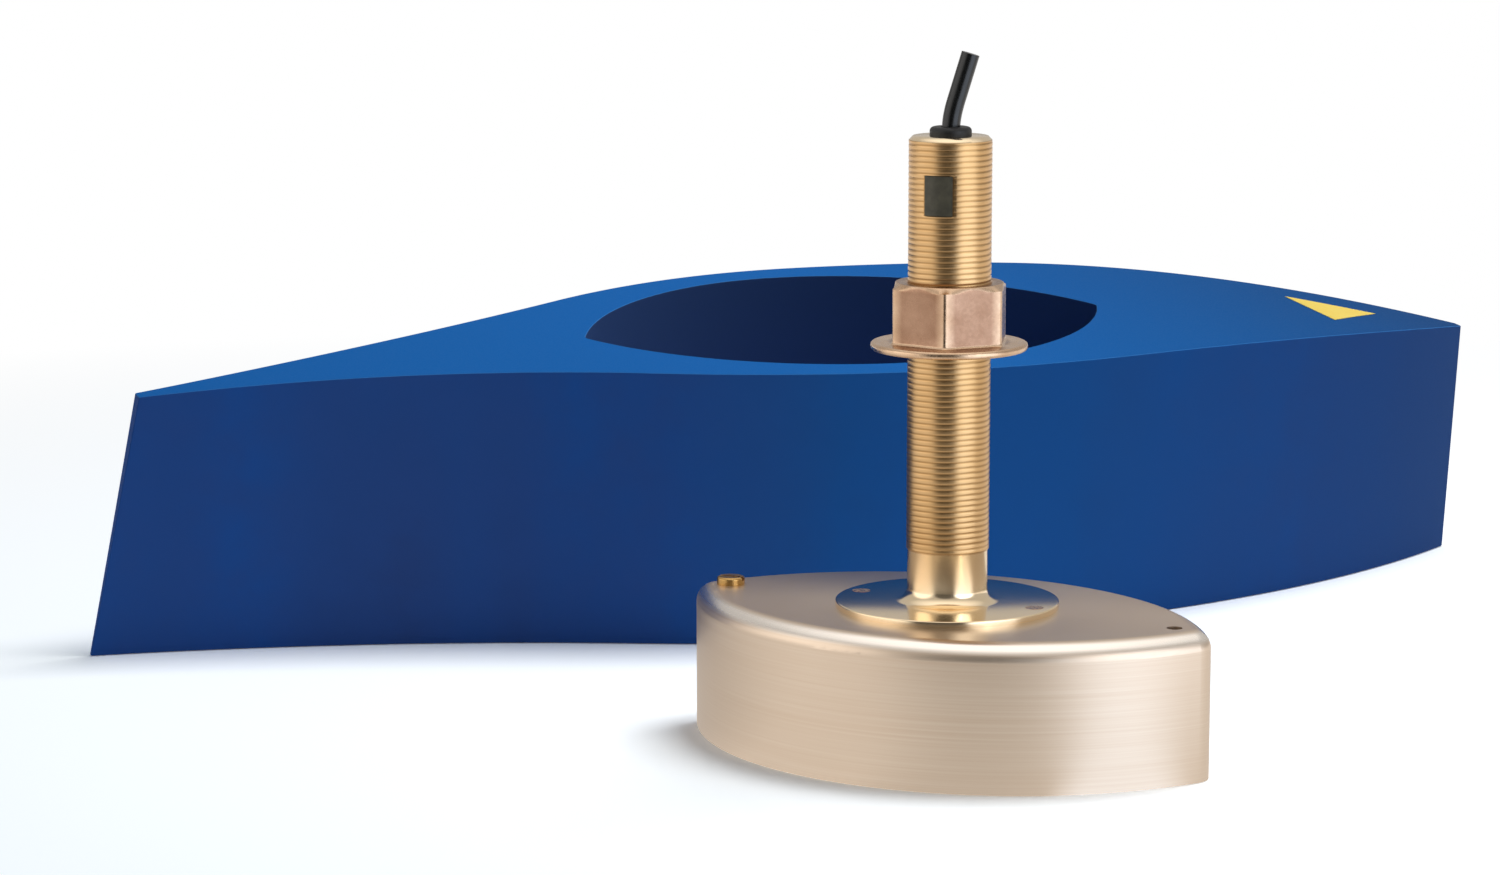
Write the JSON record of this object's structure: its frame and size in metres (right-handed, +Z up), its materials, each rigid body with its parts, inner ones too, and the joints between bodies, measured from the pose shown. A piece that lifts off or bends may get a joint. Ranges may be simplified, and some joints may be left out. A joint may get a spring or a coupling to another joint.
{
  "type": "sonar transducer with fairing",
  "caption": "Thru-hull sonar transducer: lens-shaped cast bronze housing, threaded stem with flanged nut and cable stub, with its blue streamlined fairing block standing behind.",
  "frame": {"origin": "centre of the sounding face, on the stem's axis, on the surface that the part stands on", "axes": "+Z up along the stem, +X along the housing's long axis"},
  "size_m": [0.5037, 0.5594, 0.27],
  "materials": {
    "cast_bronze": "satin, fine brushing along the wall",
    "turned_bronze": "bright turned",
    "nut_bronze": "satin",
    "brass": "bright",
    "window_urethane": "matte",
    "carrier_foam": "matte",
    "ceramic": "matte",
    "cork": "matte",
    "copper": "bare wire",
    "backing": "matte",
    "white_plastic": "matte",
    "board_green": "semi-gloss",
    "wire_red": "matte",
    "ferrite": "matte",
    "seal_rubber": "matte",
    "potting": "matte",
    "cable_black": "semi-gloss",
    "plate_dark": "satin",
    "fairing_blue": "satin moulded",
    "mark_yellow": "satin"
  },
  "bodies": {
    "root": {"housing": "cast_bronze", "acoustic_window": "window_urethane", "element_carrier": "carrier_foam", "array_elements": "ceramic", "array_sleeves": "cork", "array_pads": "cork", "low_elements": "ceramic", "low_sleeves": "cork", "low_pads": "cork", "element_leads": "copper", "backing_plate": "backing", "board_spacers": "white_plastic", "terminal_board": "board_green", "conductors": "wire_red", "coil_core_lower": "ferrite", "coil_core_upper": "ferrite", "coil_winding": "copper", "temperature_probe": "brass", "stem": "turned_bronze", "flange_oring": "seal_rubber", "flange_screws": "nut_bronze", "stem_lock_nut": "turned_bronze", "hull_nut": "nut_bronze", "stem_potting": "potting", "cable_grommet": "seal_rubber", "cable": "cable_black", "stem_plate": "plate_dark", "anti_rotation_bolt": "brass", "fairing": "fairing_blue", "bow_mark": "mark_yellow"}
  },
  "joints": []
}
